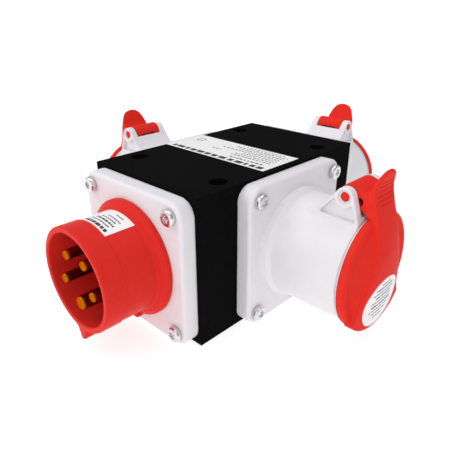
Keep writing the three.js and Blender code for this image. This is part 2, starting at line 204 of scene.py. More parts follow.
def smooth_line(points, samples=240):
    """Catmull-Rom curve through (t, value) points, as an interpolating table."""
    pts = sorted(points)
    t = np.array([p[0] for p in pts], float)
    v = np.array([p[1] for p in pts], float)
    slope = np.gradient(v, t)
    x = np.linspace(t[0], t[-1], samples)
    i = np.clip(np.searchsorted(t, x) - 1, 0, len(t) - 2)
    h = t[i + 1] - t[i]
    s = (x - t[i]) / h
    y = (
        (2 * s**3 - 3 * s**2 + 1) * v[i] + (s**3 - 2 * s**2 + s) * h * slope[i]
        + (-2 * s**3 + 3 * s**2) * v[i + 1] + (s**3 - s**2) * h * slope[i + 1]
    )
    return lambda q: np.interp(q, x, y)


# ------------------------------------------------------------- skinning solids


def skin(f, low, high, h, lipschitz=1.3):
    """Vertices and quads of the surface f = 0 inside a box, on a grid of step h."""
    low, high = np.array(low, float) - 2 * h, np.array(high, float) + 2 * h
    blocks = np.ceil((high - low) / (4 * h)).astype(int)
    n = blocks * 4
    axes = [low[k] + h * (np.arange(n[k]) + 0.0) for k in range(3)]
    centre = [low[k] + h * (4 * np.arange(blocks[k]) + 1.5) for k in range(3)]
    g = np.meshgrid(*centre, indexing="ij")
    coarse = f(g[0].ravel(), g[1].ravel(), g[2].ravel()).reshape(blocks)
    live = np.abs(coarse) < 4 * h * math.sqrt(3) / 2 * lipschitz
    field = np.where(coarse < 0, -1e3, 1e3)
    for k in range(3):
        field = np.repeat(field, 4, axis=k)
        live = np.repeat(live, 4, axis=k)
    idx = np.nonzero(live)
    field[idx] = f(axes[0][idx[0]], axes[1][idx[1]], axes[2][idx[2]])
    neg = field < 0
    corner = [(i, j, k) for i in (0, 1) for j in (0, 1) for k in (0, 1)]
    count = sum(neg[i : n[0] - 1 + i, j : n[1] - 1 + j, k : n[2] - 1 + k].astype(np.int8) for i, j, k in corner)
    cells = np.nonzero((count > 0) & (count < 8))
    number = np.full(n - 1, -1, np.int64)
    number[cells] = np.arange(len(cells[0]))
    values = {c: field[cells[0] + c[0], cells[1] + c[1], cells[2] + c[2]] for c in corner}
    total = np.zeros((len(cells[0]), 3))
    hits = np.zeros(len(cells[0]))
    for c in corner:
        for k in range(3):
            if c[k]:
                continue
            e = list(c)
            e[k] = 1
            a, b = values[c], values[tuple(e)]
            cross = (a < 0) != (b < 0)
            t = np.where(cross, a / np.where(cross, a - b, 1), 0)
            t = np.clip(t, 0, 1)
            for m in range(3):
                total[:, m] += np.where(cross, c[m] + (t if m == k else 0), 0)
            hits += cross
    verts = total / hits[:, None]
    for m in range(3):
        verts[:, m] = low[m] + h * (cells[m] + verts[:, m])
    quads = []
    for k in range(3):
        a, b = (k + 1) % 3, (k + 2) % 3
        lo_, hi_ = [slice(1, n[m] - 1) for m in range(3)], [slice(1, n[m] - 1) for m in range(3)]
        lo_[k], hi_[k] = slice(0, n[k] - 1), slice(1, n[k])
        s0, s1 = neg[tuple(lo_)], neg[tuple(hi_)]
        edge = np.nonzero(s0 != s1)
        base = [edge[m] + (0 if m == k else 1) for m in range(3)]

        def cell(da, db):
            p = list(base)
            p[a] = p[a] - da
            p[b] = p[b] - db
            return number[p[0], p[1], p[2]]

        q = np.stack([cell(1, 1), cell(0, 1), cell(0, 0), cell(1, 0)], 1)
        flip = ~s0[edge]
        q[flip] = q[flip][:, ::-1]
        quads.append(q)
    quads = np.concatenate(quads)
    quads = quads[(quads >= 0).all(1)]
    e = 0.02
    for _ in range(3):
        value = f(*verts.T)
        grad = np.stack([
            (f(*(verts + e * np.eye(3)[m]).T) - f(*(verts - e * np.eye(3)[m]).T)) / (2 * e) for m in range(3)
        ], 1)
        size = np.maximum((grad**2).sum(1), 0.05)
        step = -(value / size)[:, None] * grad
        length = np.linalg.norm(step, axis=1)
        step *= np.minimum(1, 0.6 * h / np.maximum(length, 1e-9))[:, None]
        verts = verts + step
    return verts, quads


def mesh_of(name, verts, faces):
    m = bpy.data.meshes.new(name)
    verts = np.asarray(verts, float)
    if isinstance(faces, np.ndarray):
        m.vertices.add(len(verts))
        m.vertices.foreach_set("co", verts.astype(np.float32).ravel())
        k = faces.shape[1]
        m.loops.add(faces.size)
        m.loops.foreach_set("vertex_index", faces.astype(np.int32).ravel())
        m.polygons.add(len(faces))
        m.polygons.foreach_set("loop_start", np.arange(0, faces.size, k, dtype=np.int32))
        m.update(calc_edges=True)
        m.validate()
    else:
        m.from_pydata([tuple(v) for v in verts], [], faces)
        m.update()
    return m


def new_object(name, mesh, matrix=None, smooth=True, angle=None):
    """A mesh object with the matrix applied to its vertices."""
    o = bpy.data.objects.new(name, mesh)
    bpy.context.scene.collection.objects.link(o)
    if matrix is not None:
        mesh.transform(matrix)
    if smooth:
        mesh.polygons.foreach_set("use_smooth", [True] * len(mesh.polygons))
        if angle:
            mesh.set_sharp_from_angle(angle=math.radians(angle))
    mesh.update()
    return o


def fix_normals(mesh):
    b = bmesh.new()
    b.from_mesh(mesh)
    bmesh.ops.recalc_face_normals(b, faces=b.faces)
    b.to_mesh(mesh)
    b.free()


def turned(name, profile, segments=96, centre=(0.0, 0.0), frame=None, angle=35, closed=True):
    """A turned solid about u: profile is (radius, u) points, from axis to axis or closed on itself."""
    verts, faces = [], []
    rows = []
    for r, u in profile:
        if r < 1e-6:
            rows.append([len(verts)])
            verts.append((u, centre[0], centre[1]))
        else:
            rows.append(list(range(len(verts), len(verts) + segments)))
            for k in range(segments):
                t = 2 * math.pi * k / segments
                verts.append((u, centre[0] + r * math.cos(t), centre[1] + r * math.sin(t)))
    on_axis = profile[0][0] < 1e-6 and profile[-1][0] < 1e-6
    pairs = list(zip(rows, rows[1:])) + ([] if on_axis or not closed else [(rows[-1], rows[0])])
    for a, b in pairs:
        if len(a) == 1 and len(b) == 1:
            continue
        for k in range(segments):
            m = (k + 1) % segments
            if len(a) == 1:
                faces.append((a[0], b[m], b[k]))
            elif len(b) == 1:
                faces.append((a[k], a[m], b[0]))
            else:
                faces.append((a[k], a[m], b[m], b[k]))
    mesh = mesh_of(name, verts, faces)
    fix_normals(mesh)
    return new_object(name, mesh, frame, angle=angle)


# ------------------------------------------------------------------- materials


class Nodes:
    def __init__(self, name):
        self.m = bpy.data.materials.new(name)
        self.m.use_nodes = True
        self.t = self.m.node_tree
        self.t.nodes.clear()
        self.out = self.t.nodes.new("ShaderNodeOutputMaterial")
        self.b = self.t.nodes.new("ShaderNodeBsdfPrincipled")
        self.t.links.new(self.b.outputs[0], self.out.inputs[0])
        self.coord = self.t.nodes.new("ShaderNodeTexCoord").outputs["Object"]

    def node(self, kind, **values):
        n = self.t.nodes.new(kind)
        for k, v in values.items():
            if hasattr(n, k):
                setattr(n, k, v)
            else:
                n.inputs[k.replace("_", " ")].default_value = v
        return n

    def link(self, a, b):
        self.t.links.new(a, b)

    def noise(self, scale, detail=4.0, rough=0.6, coord=None):
        n = self.node("ShaderNodeTexNoise")
        n.inputs["Scale"].default_value = scale
        n.inputs["Detail"].default_value = detail
        n.inputs["Roughness"].default_value = rough
        self.link(coord or self.coord, n.inputs["Vector"])
        return n.outputs["Fac"]

    def ramp(self, fac, stops):
        r = self.node("ShaderNodeValToRGB")
        e = r.color_ramp.elements
        while len(e) < len(stops):
            e.new(0.5)
        for item, (p, c) in zip(e, stops):
            item.position = p
            item.color = (*c, 1) if len(c) == 3 else c
        self.link(fac, r.inputs[0])
        return r.outputs[0]

    def range(self, fac, low, high, start=0.3, stop=0.7):
        r = self.node("ShaderNodeMapRange")
        self.link(fac, r.inputs[0])
        for i, v in ((1, start), (2, stop), (3, low), (4, high)):
            r.inputs[i].default_value = v
        return r.outputs[0]

    def bump(self, height, strength, distance, after=None):
        b = self.node("ShaderNodeBump")
        b.inputs["Strength"].default_value = strength
        b.inputs["Distance"].default_value = distance
        self.link(height, b.inputs["Height"])
        if after is not None:
            self.link(after, b.inputs["Normal"])
        return b.outputs[0]

    def finish(self, **values):
        for k, v in values.items():
            s = self.b.inputs[k.replace("_", " ")]
            if hasattr(v, "is_output") or isinstance(v, bpy.types.NodeSocket):
                self.link(v, s)
            else:
                s.default_value = v
        return self.m


def mixed(a, b, t):
    return tuple(x * (1 - t) + y * t for x, y in zip(a, b))


def plastic(name, colour, rough, grain=9000, grain_depth=0.00001, vary=0.04, rough_vary=0.08, coat=0.0, sheen=0.0, mottle=240, spec=0.5, subsurface=0.0):
    """Moulded plastic: a slow colour drift, a fine moulded grain and uneven gloss."""
    n = Nodes(name)
    slow = n.noise(mottle, 3, 0.55)
    fine = n.noise(grain, 2, 0.5)
    flow = n.noise(28, 2, 0.5)
    dark = tuple(c * (1 - vary) for c in colour)
    light = tuple(min(1, c * (1 + vary)) for c in colour)
    colour_out = n.ramp(slow, [(0.3, dark), (0.7, light)])
    r = n.range(flow, rough - rough_vary / 2, rough + rough_vary / 2)
    normal = n.bump(fine, 0.5, grain_depth)
    normal = n.bump(n.noise(60, 2, 0.4), 0.25, 0.00006, normal)
    values = dict(Base_Color=colour_out, Roughness=r, Normal=normal, Specular_IOR_Level=spec)
    if coat:
        values["Coat_Weight"] = coat
        values["Coat_Roughness"] = 0.12
    if subsurface:
        values["Subsurface_Weight"] = subsurface
        values["Subsurface_Radius"] = (0.6, 0.5, 0.5)
        values["Subsurface_Scale"] = 0.0012
    return n.finish(**values)


def srgb(*c):
    return tuple(((x / 255 + 0.055) / 1.055) ** 2.4 if x > 10 else x / 255 / 12.92 for x in c)


def grained_black(name):
    """Coarse grained black moulding: dense small pits that catch the light."""
    n = Nodes(name)
    pits = n.noise(2600, 3, 0.62)
    wide = n.noise(420, 3, 0.6)
    drift = n.noise(35, 2, 0.5)
    c = n.ramp(pits, [(0.34, (0.0022,) * 3), (0.55, (0.0056,) * 3), (0.76, (0.0135,) * 3)])
    normal = n.bump(pits, 0.55, 0.00006)
    normal = n.bump(wide, 0.25, 0.00012, normal)
    return n.finish(Base_Color=c, Roughness=n.range(drift, 0.62, 0.74), Normal=normal, Specular_IOR_Level=0.008)


def metal(name, colour, rough, brushed=0.0, vary=0.08):
    n = Nodes(name)
    drift = n.noise(300, 3, 0.6)
    fine = n.noise(3500, 3, 0.6)
    c = n.ramp(drift, [(0.3, tuple(x * (1 - vary) for x in colour)), (0.7, tuple(min(1, x * (1 + vary)) for x in colour))])
    normal = n.bump(fine, 0.25 + brushed, 0.00001)
    return n.finish(Base_Color=c, Metallic=1.0, Roughness=n.range(fine, max(0.03, rough - 0.05), rough + 0.05), Normal=normal)


def pin_metal_painted_shade(name):
    """Turned brass pins: golden ends, and the shafts behind them painted dark brown as painted shade deep inside the
    collar.
    """
    n = Nodes(name)
    where = n.t.nodes.new("ShaderNodeSeparateXYZ")
    n.link(n.coord, where.inputs[0])
    # Painted shade: behind the tips the pins turn dark brown, standing in for the shade deep inside the collar.
    shade = n.range(where.outputs[1], 0.0, 1.0, -0.1016, -0.1009)
    bright = n.ramp(n.noise(300, 3, 0.6), [(0.3, (0.43, 0.142, 0.0008)), (0.7, (0.49, 0.168, 0.0011))])
    painted_shade_colour = n.ramp(n.noise(450, 3, 0.6), [(0.3, (0.15, 0.030, 0.0004)), (0.7, (0.21, 0.045, 0.0006))])
    mix = n.t.nodes.new("ShaderNodeMix")
    mix.data_type = "RGBA"
    n.link(shade, mix.inputs[0])
    n.link(bright, mix.inputs[6])
    n.link(painted_shade_colour, mix.inputs[7])
    fine = n.noise(3500, 3, 0.6)
    return n.finish(Base_Color=mix.outputs[2], Metallic=1.0, Roughness=n.range(fine, 0.26, 0.36), Specular_Tint=(0.9, 0.36, 0.004, 1),
                    Normal=n.bump(fine, 0.25, 0.00001))


def paper(name):
    """Coated film label: nearly white, slightly uneven, with a soft sheen."""
    n = Nodes(name)
    c = n.ramp(n.noise(900, 3, 0.6), [(0.3, srgb(243, 243, 245)), (0.7, srgb(251, 251, 252))])
    return n.finish(Base_Color=c, Roughness=n.range(n.noise(80, 2, 0.5), 0.32, 0.42), Normal=n.bump(n.noise(1500, 2, 0.5), 0.2, 0.00001))


def ink(name):
    n = Nodes(name)
    c = n.ramp(n.noise(4000, 3, 0.7), [(0.3, srgb(22, 22, 24)), (0.75, srgb(60, 60, 62))])
    return n.finish(Base_Color=c, Roughness=n.range(n.noise(500, 2, 0.5), 0.45, 0.6))


def rubber(name):
    n = Nodes(name)
    c = n.ramp(n.noise(1200, 3, 0.6), [(0.3, srgb(226, 225, 229)), (0.7, srgb(234, 233, 237))])
    return n.finish(Base_Color=c, Roughness=n.range(n.noise(200, 2, 0.5), 0.62, 0.8), Normal=n.bump(n.noise(3000, 2, 0.6), 0.4, 0.00003))


MAT = {
    "black": grained_black("grained_black"),
    "white": plastic("white_moulding", srgb(233, 231, 235), 0.40, grain=6000, grain_depth=0.000012, vary=0.012, subsurface=0.12, spec=0.3),
    "red": plastic("red_moulding", (0.74, 0.029, 0.0215), 0.40, grain=5000, grain_depth=0.00001, vary=0.03, spec=0.05),
    "lid": plastic("red_lid_moulding", (0.80, 0.034, 0.0235), 0.40, grain=5000, grain_depth=0.00001, vary=0.03, spec=0.015),
    "carrier": plastic("dark_carrier", srgb(58, 59, 61), 0.5, vary=0.08),
    "holder": plastic("nylon_holder", srgb(214, 208, 194), 0.5, vary=0.05),
    "steel": metal("zinc_steel", (0.72, 0.72, 0.73), 0.23),
    "spring": metal("spring_wire", (0.6, 0.6, 0.61), 0.25, 0.15),
    # The pin brass carries painted shade: dark brown shafts behind the golden tips.
    "brass": pin_metal_painted_shade("pin_brass"),
    "busbar": metal("busbar_brass", srgb(214, 170, 92), 0.3, 0.1),
    "paper": paper("label_film"),
    "ink": ink("label_ink"),
    "rubber": rubber("seal_rubber"),
}


def dress(o, key):
    o.data.materials.clear()
    o.data.materials.append(MAT[key])
    return o


def piece(o, key, body, *nodes):
    dress(o, key)
    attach(o, body)
    if nodes:
        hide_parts(*nodes)
    return o


def copy_at(mesh, name, matrix):
    m = mesh.copy()
    m.name = name
    return new_object(name, m, matrix, smooth=False)


H1 = 0.55

# -------------------------------------------------------------- flange plates


def plate(u, v, w):
    d = round_square(v, w, 37.5, 8.0)
    d = meet(d, u - 8.5, 1.9)
    d = meet(d, 0.2 - u, 0.2)
    for a, b in CORNERS:
        d = carve(d, np.hypot(v - a, w - b) - 2.3, 0.15)
    return d


def groove(u, v, w):
    r = np.hypot(v, w)
    return np.maximum(np.abs(r - 29.75) - 2.15, u - 1.9)


# ------------------------------------------------------------ socket housing

NECK = Outline(filleted([
    (-5, 5.0), (29.7, 5.0), (29.8, 12.1, 0.45), (28.0, 13.9, 0.6), (28.0, 50.0, 0.55), (-5, 50.0)]))
EAR = Outline(filleted([
    (18.0, 20.0), (18.0, 22.6), (21.2, 23.7, 9), (25.0, 26.0, 9), (29.2, 29.2, 9), (33.6, 33.8, 9)]
    + arc(41.6, 36.8, 4.6, 150, 18, 9) + [(49.9, 26.0, 1.0), (49.9, 20.0)]))
BUMP = Outline(filleted([(-6.5, -24.0), (-4.8, -27.0, 1.2), (-1.4, -33.2, 0.9), (1.4, -33.2, 0.9), (4.8, -27.0, 1.2), (6.5, -24.0)]))
SLOTCUT = Outline(filleted([(-3.9, -24.0), (-3.7, -26.4), (-1.15, -32.1, 0.4), (1.15, -32.1, 0.4), (3.7, -26.4), (3.9, -24.0)]))
KNUCKLE_SPACE = Outline(filleted([(30, 36.0), (30, 43.5), (60, 43.5), (60, 28.4), (44.4, 28.4, 1.0), (38.6, 33.0, 1.0), (37.2, 36.0)]))
POCKET = Outline(filleted([(36.4, 35.3, 0.5), (29.2, 26.9, 0.6), (48.3, 26.2, 0.6), (45.5, 34.2, 0.5)]))


def housing(u, v, w):
    r = np.hypot(v, w)
    d = weld(plate(u, v, w), NECK(r, u), 0.5)
    d = weld(d, meet(BUMP(v, w), np.abs(u - 29.4) - 20.4, 0.4), 0.6)
    ears = meet(EAR(u, w), np.abs(v) - 13.5, 0.55)
    d = weld(d, ears, 1.7)
    d = np.maximum(d, u - 50.0)
    d = carve(d, np.maximum(r - 26.6, 9.2 - u), 0.45)
    d = carve(d, np.maximum(SLOTCUT(v, w), 13.2 - u), 0.25)
    d = np.maximum(d, -np.maximum(r - 24.0, u - 20.0))
    d = np.maximum(d, -np.maximum(r - 26.35, u - 5.3))
    d = np.maximum(d, -groove(u, v, w))
    space = np.maximum(weld(np.hypot(u - HINGE[0], w - HINGE[1]) - 5.25, KNUCKLE_SPACE(u, w)), np.abs(v) - 9.3)
    d = carve(d, space, 0.35)
    pin = np.hypot(u - HINGE[0], w - HINGE[1])
    d = carve(d, pin - 2.15, 0.15)
    well = meet(POCKET(u, w), 5.1 - pin, 0.3)
    d = carve(d, np.maximum(well, 11.3 - np.abs(v)), 0.22)
    ring = np.maximum(pin - 3.1, 12.9 - np.abs(v))
    return carve(d, ring, 0.15)


def decimated(mesh, ratio):
    """The same surface with fewer faces, most of them taken from its flat parts."""
    o = bpy.data.objects.new("tmp", mesh)
    bpy.context.scene.collection.objects.link(o)
    mod = o.modifiers.new("d", "DECIMATE")
    mod.ratio = ratio
    mod.use_collapse_triangulate = True
    dg = bpy.context.evaluated_depsgraph_get()
    out = bpy.data.meshes.new_from_object(o.evaluated_get(dg))
    bpy.data.objects.remove(o)
    return out


def surface(name, f, low, high, h, lipschitz=1.3, ratio=None):
    verts, quads = skin(f, low, high, h, lipschitz)
    m = mesh_of(name, verts, quads)
    if ratio:
        m = decimated(m, ratio)
        m.name = name
    m.polygons.foreach_set("use_smooth", [True] * len(m.polygons))
    # Exact surface normals keep the fine grid smooth in the highlights.
    co = np.empty(len(m.vertices) * 3, np.float32)
    m.vertices.foreach_get("co", co)
    p = co.reshape(-1, 3).astype(float)
    e = 0.08
    g = np.stack([f(*(p + e * np.eye(3)[k]).T) - f(*(p - e * np.eye(3)[k]).T) for k in range(3)], 1)
    g /= np.maximum(np.linalg.norm(g, axis=1), 1e-9)[:, None]
    m.normals_split_custom_set_from_vertices([tuple(x) for x in g])
    return m


housing_mesh = surface("housing", housing, (0, -37.6, -37.6), (50.1, 37.6, 42.6), H1)
for side in ("right", "back", "left"):
    piece(copy_at(housing_mesh, f"housing_shell_{side}", placed(side)), "white", "box", f"socket_{side}_housing")

# -------------------------------------------------------------- inlet flange


def inlet_plate(u, v, w):
    d = carve(plate(u, v, w), np.hypot(v, w) - 26.5, 0.3)
    return np.maximum(d, -groove(u, v, w))


inlet_mesh = surface("inlet_plate", inlet_plate, (0, -37.6, -37.6), (8.6, 37.6, 37.6), H1)
piece(copy_at(inlet_mesh, "inlet_flange", placed("plug")), "white", "box", "plug_flange")

# ----------------------------------------------------------------- the collar

COLLAR = Outline(filleted([
    (23.2, 2.0), (26.0, 2.0), (26.0, 8.8), (30.4, 8.8, 0.2), (30.4, 11.2, 0.45), (28.2, 12.7, 0.5), (26.4, 13.4, 0.6),
    (25.85, 14.6, 0.6), (25.85, 30.35, 0.1), (26.2, 30.55, 0.1), (26.2, 41.4, 0.9), (23.2, 41.4, 0.7)]), step=0.1)
KEY = Outline(filleted([(-5.2, -24.6), (-3.3, -26.6, 0.9), (-1.05, -32.4, 0.5), (1.05, -32.4, 0.5), (3.3, -26.6, 0.9), (5.2, -24.6)]))


def collar(u, v, w):
    r = np.hypot(v, w)
    d = COLLAR(r, u)
    key = meet(np.maximum(KEY(v, w), 24.4 - r), np.abs(u - 27.6) - 13.75, 0.5)
    d = np.maximum(weld(d, key, 0.7), u - 41.4)
    lug = meet(np.maximum(meet(np.abs(v) - 5.0, np.abs(w + 28.8) - 4.2, 1.2), 24.4 - r), np.abs(u - 10.9) - 1.9, 0.5)
    return weld(d, lug, 0.4)


collar_mesh = surface("collar", collar, (1.9, -30.5, -33.1), (41.5, 30.5, 30.5), H1 * 0.85)
piece(copy_at(collar_mesh, "inlet_collar", placed("plug")), "red", "box", "plug_shroud")


# ------------------------------------------- discs with holes: pin and contact carriers


def pierced(name, outer, holes, start, stop, bevel, frame, segments=128):
    """A disc of the given radius between start and stop, with round holes, its front edges rounded."""
    c = bpy.data.curves.new(name, "CURVE")
    c.dimensions = "2D"
    c.fill_mode = "BOTH"
    for x, y, r, n in [(0, 0, outer, segments)] + [(a, b, r, 40) for a, b, r in holes]:
        s = c.splines.new("POLY")
        s.points.add(n - 1)
        for k in range(n):
            t = 2 * math.pi * k / n
            s.points[k].co = (x + r * math.cos(t), y + r * math.sin(t), 0, 1)
        s.use_cyclic_u = True
    c.extrude = (stop - start) / 2 - bevel
    c.bevel_depth = bevel
    c.bevel_resolution = 3
    c.offset = -bevel
    o = bpy.data.objects.new(name, c)
    bpy.context.scene.collection.objects.link(o)
    dg = bpy.context.evaluated_depsgraph_get()
    mesh = bpy.data.meshes.new_from_object(o.evaluated_get(dg))
    bpy.data.objects.remove(o)
    b = bmesh.new()
    b.from_mesh(mesh)
    bmesh.ops.remove_doubles(b, verts=b.verts, dist=1e-4)
    bmesh.ops.recalc_face_normals(b, faces=b.faces)
    b.to_mesh(mesh)
    b.free()
    turn = Matrix(((0, 0, 1, (start + stop) / 2), (1, 0, 0, 0), (0, 1, 0, 0), (0, 0, 0, 1)))
    return new_object(name, mesh, frame @ turn, angle=35)


def at(r, deg):
    return r * math.cos(math.radians(deg)), r * math.sin(math.radians(deg))


pin_holes = [(*at(PIN_R, d), 2.75) for d in PHASES.values()] + [(*at(PIN_R, EARTH), 3.75)]
floor_disc = pierced("inlet_pin_carrier", 22.85, pin_holes, -10.0, 6.0, 0.35, placed("plug"))
piece(floor_disc, "red", "box", "plug_pin_carrier")
contact_holes = [(*at(PIN_R, d), 3.0) for d in PHASES.values()] + [(*at(PIN_R, EARTH), 4.0)]
for side in ("right", "back", "left"):
    o = pierced(f"contact_carrier_{side}", 22.8, contact_holes, -8.0, 46.0, 0.5, placed(side))
    piece(o, "carrier", "box", f"socket_{side}_insert")

# ----------------------------------------------------------------------- pins

for name, deg in list(PHASES.items()) + [("PE", EARTH)]:
    r = 3.5 if name == "PE" else 2.5
    back = 4.3 if name == "PE" else 3.4
    tip = r * 0.74
    profile = [(0, -16), (back - 0.3, -16), (back, -15.7), (back, -10.6), (back - 0.3, -10.3), (r, -10.3)]
    profile += [(r, 39.0)] + [(tip + (r - tip) * math.cos(a), 39.0 + 1.4 * math.sin(a)) for a in np.linspace(0.25, math.pi / 2, 6)]
    profile += [(0, 40.4)]
    o = turned(f"inlet_pin_{name}", profile, 64, at(PIN_R, deg), placed("plug"), angle=50)
    piece(o, "brass", "box", f"plug_pin_{name}")

# --------------------------------------------------------------------- screws


def lobed_head(name, x, y, frame, base=8.6, turn=0.0, shank=(-7.3, 1.9), size=4.0, rise=3.0):
    """A pan-head screw with a six-lobe recess, its axis along u."""
    n = 72
    rings = [(lambda t: shank[1] * 0.6, shank[0]), (lambda t: shank[1], shank[0] + 0.8), (lambda t: shank[1], base - 0.02)]
    rings += [(lambda t: size - 0.25, base), (lambda t: size, base + 0.25), (lambda t: size, base + rise - 1.15)]
    for a in np.linspace(0.2, 1.0, 6):
        c = math.cos(a * math.pi / 2)
        s = math.sin(a * math.pi / 2)
        rings.append((lambda t, c=c: size - 1.2 + 1.2 * c, base + rise - 1.15 + 1.13 * s))
    lobe = lambda t: 1.78 + 0.34 * math.cos(6 * (t - turn))
    rings += [(lambda t: lobe(t) + 0.32, base + rise), (lambda t: lobe(t) + 0.06, base + rise - 0.06),
              (lambda t: lobe(t), base + rise - 0.25), (lambda t: lobe(t) * 0.97, base + rise - 0.85),
              (lambda t: lobe(t) * 0.5, base + rise - 0.95)]
    verts = [(shank[0], x, y)]
    for f, u in rings:
        for k in range(n):
            t = 2 * math.pi * k / n
            verts.append((u, x + f(t) * math.cos(t), y + f(t) * math.sin(t)))
    verts.append((base + rise - 1.0, x, y))
    faces = [(0, 1 + (k + 1) % n, 1 + k) for k in range(n)]
    for i in range(len(rings) - 1):
        a, b = 1 + i * n, 1 + (i + 1) * n
        faces += [(a + k, a + (k + 1) % n, b + (k + 1) % n, b + k) for k in range(n)]
    a = 1 + (len(rings) - 1) * n
    faces += [(a + k, a + (k + 1) % n, len(verts) - 1) for k in range(n)]
    mesh = mesh_of(name, verts, faces)
    fix_normals(mesh)
    return new_object(name, mesh, frame, angle=48)


turns = [0.3, 0.9, 0.1, 0.6, 0.5, 0.2, 0.8, 0.0]
for s, side in enumerate(("plug", "right", "back", "left")):
    for i, (a, b) in enumerate(CORNERS):
        node = f"plug_flange_screw_{i + 1}" if side == "plug" else f"socket_{side}_flange_screw_{i + 1}"
        o = lobed_head(f"screw_{side}_{i + 1}", a, b, placed(side), turn=turns[(i + 3 * s) % 8])
        piece(o, "steel", "box", node)

upright = ROW @ Matrix(((0, 1, 0, 0), (0, 0, 1, 0), (1, 0, 0, 0), (0, 0, 0, 1)))
for i, (x, y) in enumerate(WELLS):
    o = lobed_head(f"long_screw_{i + 1}", x, y, upright, base=16.2, turn=turns[i], shank=(1.5, 1.9), size=3.9, rise=3.2)
    piece(o, "steel", "box", f"housing_screw_{i + 1}")

# --------------------------------------------------------------- box housing


def cube(name, x0, x1, y0, y1, z0, z1):
    b = bmesh.new()
    bmesh.ops.create_cube(b, size=1.0)
    m = bpy.data.meshes.new(name)
    b.to_mesh(m)
    b.free()
    m.transform(Matrix.Translation(((x0 + x1) / 2, (y0 + y1) / 2, (z0 + z1) / 2)) @ Matrix.Diagonal((x1 - x0, y1 - y0, z1 - z0, 1)))
    return m


def rod(name, r, start, stop, centre, axis, n=96):
    b = bmesh.new()
    bmesh.ops.create_cone(b, cap_ends=True, segments=n, radius1=r, radius2=r, depth=stop - start)
    m = bpy.data.meshes.new(name)
    b.to_mesh(m)
    b.free()
    m.transform(Matrix.Translation((0, 0, (start + stop) / 2)))
    turn = {"z": Matrix.Identity(4), "x": Matrix.Rotation(math.pi / 2, 4, "Y"), "y": Matrix.Rotation(-math.pi / 2, 4, "X")}[axis]
    m.transform(Matrix.Translation(centre) @ turn)
    return m


def boolean(base, others, operation):
    o = bpy.data.objects.new("base", base)
    bpy.context.scene.collection.objects.link(o)
    group = bpy.data.collections.new("cutters")
    bpy.context.scene.collection.children.link(group)
    for m in others:
        c = bpy.data.objects.new("cutter", m)
        group.objects.link(c)
    mod = o.modifiers.new("b", "BOOLEAN")
    mod.operation = operation
    mod.operand_type = "COLLECTION"
    mod.collection = group
    mod.solver = "EXACT"
    dg = bpy.context.evaluated_depsgraph_get()
    out = bpy.data.meshes.new_from_object(o.evaluated_get(dg))
    for c in list(group.objects):
        bpy.data.objects.remove(c)
    bpy.data.collections.remove(group)
    bpy.data.objects.remove(o)
    return out


shell = cube("shell", -HALF_X, HALF_X, -HALF_Y, HALF_Y, 0, HEIGHT)
hollow = cube("hollow", -36, 36, -59.5, 59.5, -1, 75)
shell = boolean(shell, [hollow], "DIFFERENCE")
posts = [rod("post", 6.4, 9, 76, (x, y, 0), "z", 48) for x, y in WELLS]
for a, b in CORNERS:
    z = AXIS_Z + b
    for s in (-1, 1):
        posts.append(cube("boss", min(s * 31, s * 37), max(s * 31, s * 37), a - 3.6, a + 3.6, z - 3.6, z + 3.6))
        posts.append(cube("boss", a - 3.6, a + 3.6, min(s * 54.5, s * 60.5), max(s * 54.5, s * 60.5), z - 3.6, z + 3.6))
shell = boolean(shell, posts, "UNION")
cuts = [rod("well", 4.6, 16, 79, (x, y, 0), "z", 72) for x, y in WELLS]
cuts += [rod("shaft", 2.3, 0, 20, (x, y, 0), "z", 32) for x, y in WELLS]
cuts += [rod("window", 24, -41, 41, (0, 0, AXIS_Z), "x"), rod("window", 24, -64, 64, (0, 0, AXIS_Z), "y")]
for a, b in CORNERS:
    z = AXIS_Z + b
    cuts += [rod("hole", 2.2, -41, -30, (0, a, z), "x", 24), rod("hole", 2.2, 30, 41, (0, a, z), "x", 24)]
    cuts += [rod("hole", 2.2, -64, -53, (a, 0, z), "y", 24), rod("hole", 2.2, 53, 64, (a, 0, z), "y", 24)]
shell = boolean(shell, cuts, "DIFFERENCE")
box = new_object("box_shell", shell, ROW, smooth=True)
bevel = box.modifiers.new("edge", "BEVEL")
bevel.width = 0.00035
bevel.segments = 3
bevel.limit_method = "ANGLE"
bevel.angle_limit = math.radians(50)
bevel.harden_normals = False
shell.set_sharp_from_angle(angle=math.radians(35))
piece(box, "black", "box", "box_housing")

# ------------------------------------------------------------------- the lid
# Front view: half outline of the raised shield and the thumb tab above it.

HALF = [
    (0, 49.7), (2.2, 49.5), (4.1, 48.8), (5.7, 47.6), (6.9, 46.0), (7.8, 44.2), (8.6, 42.2), (9.1, 40.2), (9.25, 38.2), (9.15, 36.2), (8.9, 34.2),
    (8.8, 32.0), (8.9, 29.8), (9.2, 27.0), (9.5, 23.5), (9.6, 19.0), (9.95, 15.0), (11.1, 10.5), (12.4, 4.5), (14.0, -1.0), (15.9, -6.2), (18.5, -12.4),
    (20.8, -16.7), (22.1, -18.7), (22.4, -19.9),
] + [(30.1 * math.cos(math.radians(a)), 30.1 * math.sin(math.radians(a))) for a in (-45, -49, -54, -59, -64, -69, -74, -79, -84.5)]
SHIELD = Outline(HALF + [(0, -30.2)] + [(-a, b) for a, b in reversed(HALF[1:])], step=0.12)
